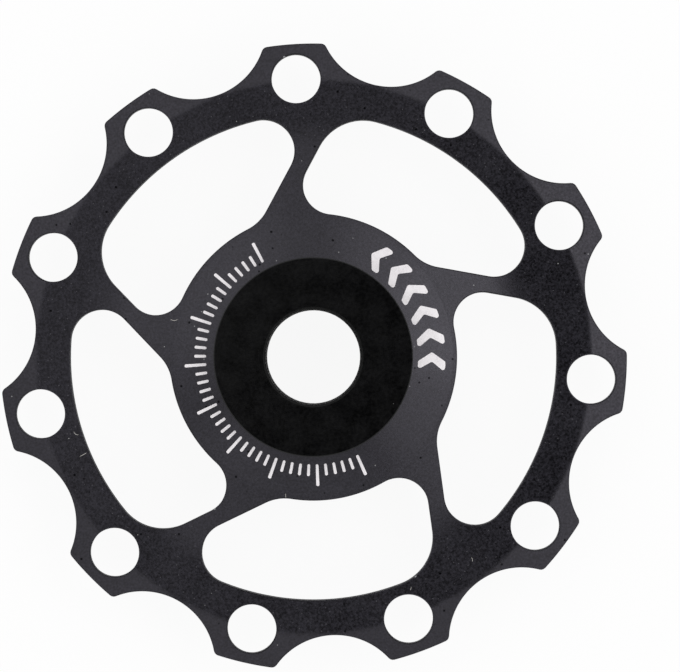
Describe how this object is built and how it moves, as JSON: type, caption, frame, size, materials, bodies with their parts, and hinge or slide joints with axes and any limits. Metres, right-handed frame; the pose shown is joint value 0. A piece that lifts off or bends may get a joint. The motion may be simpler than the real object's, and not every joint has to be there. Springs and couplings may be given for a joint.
{
  "type": "derailleur jockey wheel",
  "caption": "Toothed black aluminium chain pulley with swept spokes and holed teeth, turning on a sealed ball bearing between dust caps.",
  "frame": {"origin": "on the axle's axis, at the wheel's middle plane, which is the middle of the bearing bore", "axes": "+Z along the axle towards the front cap; +Y through the middle of one tooth; the part lies flat on its rear cap"},
  "size_m": [0.0402, 0.0398, 0.008],
  "materials": {
    "black_anodised": "black anodised, satin, with a fine mottled grain on the rim",
    "black_cap": "smooth turned, black anodised, semi gloss",
    "bearing_steel": "ground and polished bearing steel",
    "seal_rubber": "moulded nitrile rubber on a steel washer",
    "cage_nylon": "moulded natural nylon"
  },
  "bodies": {
    "axle_side": {"bearing_inner_ring": "bearing_steel", "dust_cap_front": "black_cap", "dust_cap_rear": "black_cap"},
    "wheel": {"pulley_wheel": "black_anodised", "bearing_outer_ring": "bearing_steel", "bearing_seal_front": "seal_rubber", "bearing_seal_rear": "seal_rubber"},
    "ball_set": {"ball_cage": "cage_nylon", "bearing_ball_1": "bearing_steel", "bearing_ball_2": "bearing_steel", "bearing_ball_3": "bearing_steel", "bearing_ball_4": "bearing_steel", "bearing_ball_5": "bearing_steel", "bearing_ball_6": "bearing_steel", "bearing_ball_7": "bearing_steel", "bearing_ball_8": "bearing_steel"}
  },
  "joints": [
    {"name": "wheel_spin", "type": "hinge", "parent": "axle_side", "child": "wheel", "pos_m": [0, 0, 0], "axis": [0, 0, 1], "continuous": true},
    {"name": "ball_set_spin", "type": "hinge", "parent": "axle_side", "child": "ball_set", "pos_m": [0, 0, 0], "axis": [0, 0, 1], "continuous": true}
  ],
  "couplings": [
    {"joint": "ball_set_spin", "follows": "wheel_spin", "ratio": 0.58822}
  ]
}
